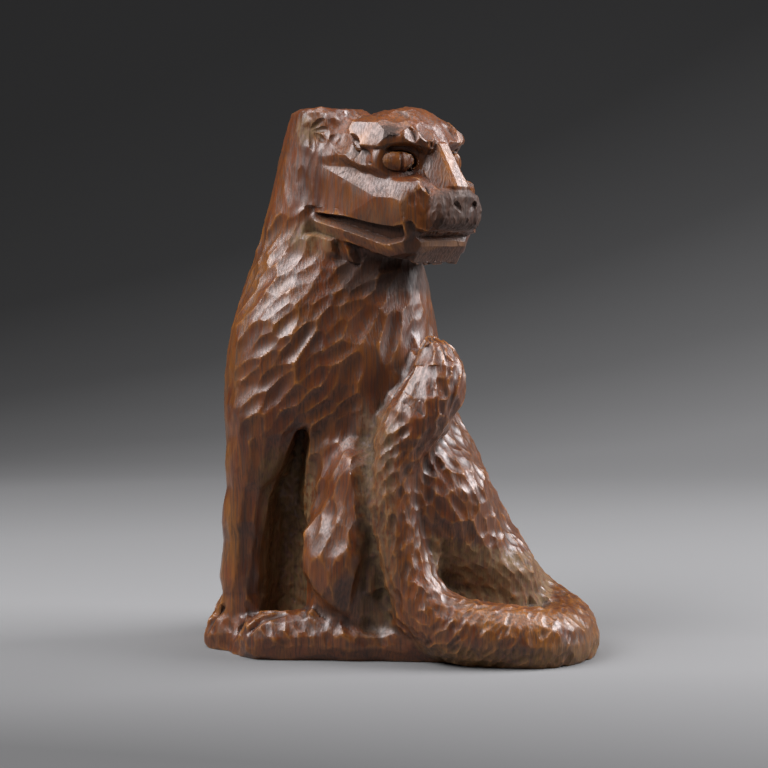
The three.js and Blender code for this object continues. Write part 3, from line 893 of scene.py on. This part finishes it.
def wear_and_shade_group():
    """Shares from 0 to 1: rubbed edges, painted shade in creases and hollows with the mouth's recess,
    painted shadow under the jaw and a darker nose, and settled dust.
    """
    tree, _, out = group_of("wear_and_shade", [], [("Rubbed", "NodeSocketFloat"), ("Shade_and_dark_nose", "NodeSocketFloat"),
                                         ("Dust", "NodeSocketFloat")])
    uneven = spread(tree, streaks(tree, 130, (1, 1, 0.5), 4), 0.3, 0.62)
    edge = spread(tree, stored(tree, "edge"), 0.08, 0.50)
    rubbed = combine(tree, "MULTIPLY", edge, uneven)
    # Painted shade: creases and broad hollows are darkened where less light reaches.
    crevice = spread(tree, stored(tree, "edge"), -0.05, -0.42)
    pit = spread(tree, stored(tree, "swell"), -1.0, -5.0)
    shade_and_nose = combine(tree, "MAXIMUM", crevice, combine(tree, "MULTIPLY", pit, 0.65))
    shade_and_nose = combine(tree, "MAXIMUM", shade_and_nose, stored(tree, "dark_nose_and_painted_shade"))
    patchy = spread(tree, streaks(tree, 240, (1, 1, 0.7), 5, 0.75), 0.36, 0.6)
    dust = combine(tree, "MULTIPLY", stored(tree, "dust"), patchy)
    tree.links.new(rubbed, out.inputs["Rubbed"])
    tree.links.new(shade_and_nose, out.inputs["Shade_and_dark_nose"])
    tree.links.new(dust, out.inputs["Dust"])
    return tree


DARK_STAIN = (0.062, 0.0140, 0.0030)
RED_STAIN = (0.160, 0.0375, 0.0070)
RUBBED_EDGE = (0.330, 0.118, 0.015)
AMBER = (0.225, 0.080, 0.008)
BROWN_BLACK = (0.015, 0.0065, 0.0030)
OLD_DUST = (0.185, 0.120, 0.050)


def wood_material():
    wood = bpy.data.materials.new("varnished_hardwood")
    wood.use_nodes = True
    tree = wood.node_tree
    shader = tree.nodes["Principled BSDF"]
    grain = tree.nodes.new("ShaderNodeGroup")
    grain.node_tree = grain_group()
    wear_and_shade = tree.nodes.new("ShaderNodeGroup")
    wear_and_shade.node_tree = wear_and_shade_group()

    stain = combine(tree, "MULTIPLY", grain.outputs["Figure"], 0.55)
    stain = combine(tree, "ADD", stain, combine(tree, "MULTIPLY", grain.outputs["Blotches"], 0.3))
    stain = combine(tree, "ADD", stain, spread(tree, stored(tree, "tone"), 0, 1, -0.12, 0.22))
    colour = tint(tree, stain, DARK_STAIN, RED_STAIN)
    amber = combine(tree, "MULTIPLY", grain.outputs["Amber"], stored(tree, "amber"))
    colour = tint(tree, amber, colour, AMBER)
    colour = tint(tree, combine(tree, "MULTIPLY", grain.outputs["Pores"], 0.65), colour, BROWN_BLACK)
    colour = tint(tree, combine(tree, "MULTIPLY", wear_and_shade.outputs["Rubbed"], 0.75), colour, RUBBED_EDGE)
    # Painted shade: creases, hollows, the mouth's recess and under the jaw and chin go toward brown-black,
    # and the nose is drawn darker too.
    colour = tint(tree, combine(tree, "MULTIPLY", wear_and_shade.outputs["Shade_and_dark_nose"], 0.75), colour, BROWN_BLACK)
    colour = tint(tree, combine(tree, "MULTIPLY", wear_and_shade.outputs["Dust"], 0.8), colour, OLD_DUST)
    tree.links.new(colour, shader.inputs["Base Color"])

    rough = spread(tree, grain.outputs["Pores"], 0, 1, 0.35, 0.55)
    rough = combine(tree, "ADD", rough, combine(tree, "MULTIPLY", wear_and_shade.outputs["Shade_and_dark_nose"], 0.25))
    rough = combine(tree, "ADD", rough, combine(tree, "MULTIPLY", wear_and_shade.outputs["Dust"], 0.4))
    tree.links.new(rough, shader.inputs["Roughness"])
    gloss = combine(tree, "SUBTRACT", 0.5, combine(tree, "MULTIPLY", wear_and_shade.outputs["Dust"], 0.8))
    gloss = combine(tree, "SUBTRACT", gloss, combine(tree, "MULTIPLY", wear_and_shade.outputs["Shade_and_dark_nose"], 0.4))
    gloss = combine(tree, "SUBTRACT", gloss, combine(tree, "MULTIPLY", stored(tree, "rubbed_dull"), 0.32))
    tree.links.new(combine(tree, "MAXIMUM", gloss, 0.0), shader.inputs["Coat Weight"])
    shader.inputs["Coat Roughness"].default_value = 0.33
    shader.inputs["Coat IOR"].default_value = 1.5

    relief = combine(tree, "MULTIPLY", grain.outputs["Pores"], -1.0)
    relief = combine(tree, "ADD", relief, combine(tree, "MULTIPLY", grain.outputs["Figure"], 0.5))
    bump = tree.nodes.new("ShaderNodeBump")
    bump.inputs["Strength"].default_value = 0.32
    bump.inputs["Distance"].default_value = 0.4 * MM
    tree.links.new(relief, bump.inputs["Height"])
    tree.links.new(bump.outputs[0], shader.inputs["Normal"])
    return wood


skin.data.materials.clear()
skin.data.materials.append(wood_material())
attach(skin, "root")
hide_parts("tiger")


# The floor with its backdrop, the lights and the camera

# Painted light and shade on the paper: its grey from front to back, in metres along the floor and up the
# wall, darkest high on the wall where the light falls off

PAINTED_BACKDROP_LIGHT = [(-0.45, 0.09), (0.0, 0.22), (0.7, 0.205), (1.25, 0.165), (1.65, 0.090), (2.05, 0.045),
                  (2.5, 0.024), (3.2, 0.019)]


def backdrop():
    profile = [(y, 0.0) for y in np.linspace(-2.6, 1.2, 12)]
    profile += [(1.2 + 1.2 * math.sin(t), 1.2 - 1.2 * math.cos(t))
                for t in np.linspace(0.1, math.pi / 2, 14)]
    profile += [(2.4, z) for z in np.linspace(1.4, 4.0, 6)]
    across = np.linspace(-4, 4, 9)
    points = [(x, y, z) for y, z in profile for x in across]
    n = len(across)
    faces = [(i * n + j, i * n + j + 1, (i + 1) * n + j + 1, (i + 1) * n + j)
             for i in range(len(profile) - 1) for j in range(n - 1)]
    mesh = bpy.data.meshes.new("backdrop")
    mesh.from_pydata(points, [], faces)
    mesh.shade_smooth()
    sheet = bpy.data.objects.new("backdrop", mesh)
    bpy.context.scene.collection.objects.link(sheet)
    paper = bpy.data.materials.new("grey_paper")
    paper.use_nodes = True
    nodes, links = paper.node_tree.nodes, paper.node_tree.links
    shader = nodes["Principled BSDF"]
    shader.inputs["Roughness"].default_value = 0.9
    shader.inputs["Specular IOR Level"].default_value = 0.1
    tree = paper.node_tree
    place = nodes.new("ShaderNodeTexCoord")
    split = nodes.new("ShaderNodeSeparateXYZ")
    links.new(place.outputs["Object"], split.inputs[0])
    across, back, up = split.outputs
    # Painted light: the paper is drawn lighter towards the right.
    away = combine(tree, "MAXIMUM", combine(tree, "ADD", back, 1.83), 1.5)
    aside = combine(tree, "MAXIMUM", combine(tree, "DIVIDE", across, away), -0.25)
    aside = combine(tree, "MINIMUM", aside, 0.25)
    slant = combine(tree, "SUBTRACT", 1, combine(tree, "MULTIPLY", aside, 1.1))
    way_back = combine(tree, "MULTIPLY", combine(tree, "ADD", back, up), slant)
    tone = nodes.new("ShaderNodeValToRGB")
    first, last = PAINTED_BACKDROP_LIGHT[0][0], PAINTED_BACKDROP_LIGHT[-1][0]
    links.new(spread(tree, way_back, first, last), tone.inputs[0])
    steps = tone.color_ramp.elements
    while len(steps) < len(PAINTED_BACKDROP_LIGHT):
        steps.new(0.5)
    for step, (where, grey) in zip(steps, PAINTED_BACKDROP_LIGHT):
        step.position = (where - first) / (last - first)
        step.color = (grey, grey, grey, 1)
    links.new(tone.outputs[0], shader.inputs["Base Color"])
    mesh.materials.append(paper)
    return sheet


def soft_box(name, place, aim, width, height, power, colour):
    light = bpy.data.lights.new(name, "AREA")
    light.shape = "RECTANGLE"
    light.size, light.size_y = width, height
    light.energy = power
    light.color = colour
    lamp = bpy.data.objects.new(name, light)
    lamp.location = place
    lamp.rotation_euler = (Vector(aim) - Vector(place)).to_track_quat("-Z", "Y").to_euler()
    bpy.context.scene.collection.objects.link(lamp)
    return lamp


backdrop()
COOL = (0.98, 0.975, 1.0)
soft_box("left_window", (-1.50, -0.75, 1.82), (0, 0, 0.3), 1.8, 1.4, 90, COOL)
soft_box("right_window", (1.60, 0.05, 1.40), (0, 0, 0.3), 1.2, 1.2, 74, COOL)
soft_box("top_window", (0.1, -0.1, 2.1), (0, 0, 0.2), 1.2, 0.8, 14, COOL)

world = bpy.data.worlds.new("studio")
world.use_nodes = True
world.node_tree.nodes["Background"].inputs["Color"].default_value = (0.03, 0.03, 0.032, 1)
bpy.context.scene.world = world
bpy.context.scene.view_settings.view_transform = "Standard"

lens = bpy.data.cameras.new("camera")
lens.sensor_width = 36
lens.lens = 101.25
camera = bpy.data.objects.new("camera", lens)
camera.location = (-0.0144, -1.830, 0.360)
camera.rotation_euler = (math.radians(90 - 4.36), 0, 0)
bpy.context.scene.collection.objects.link(camera)
bpy.context.scene.camera = camera
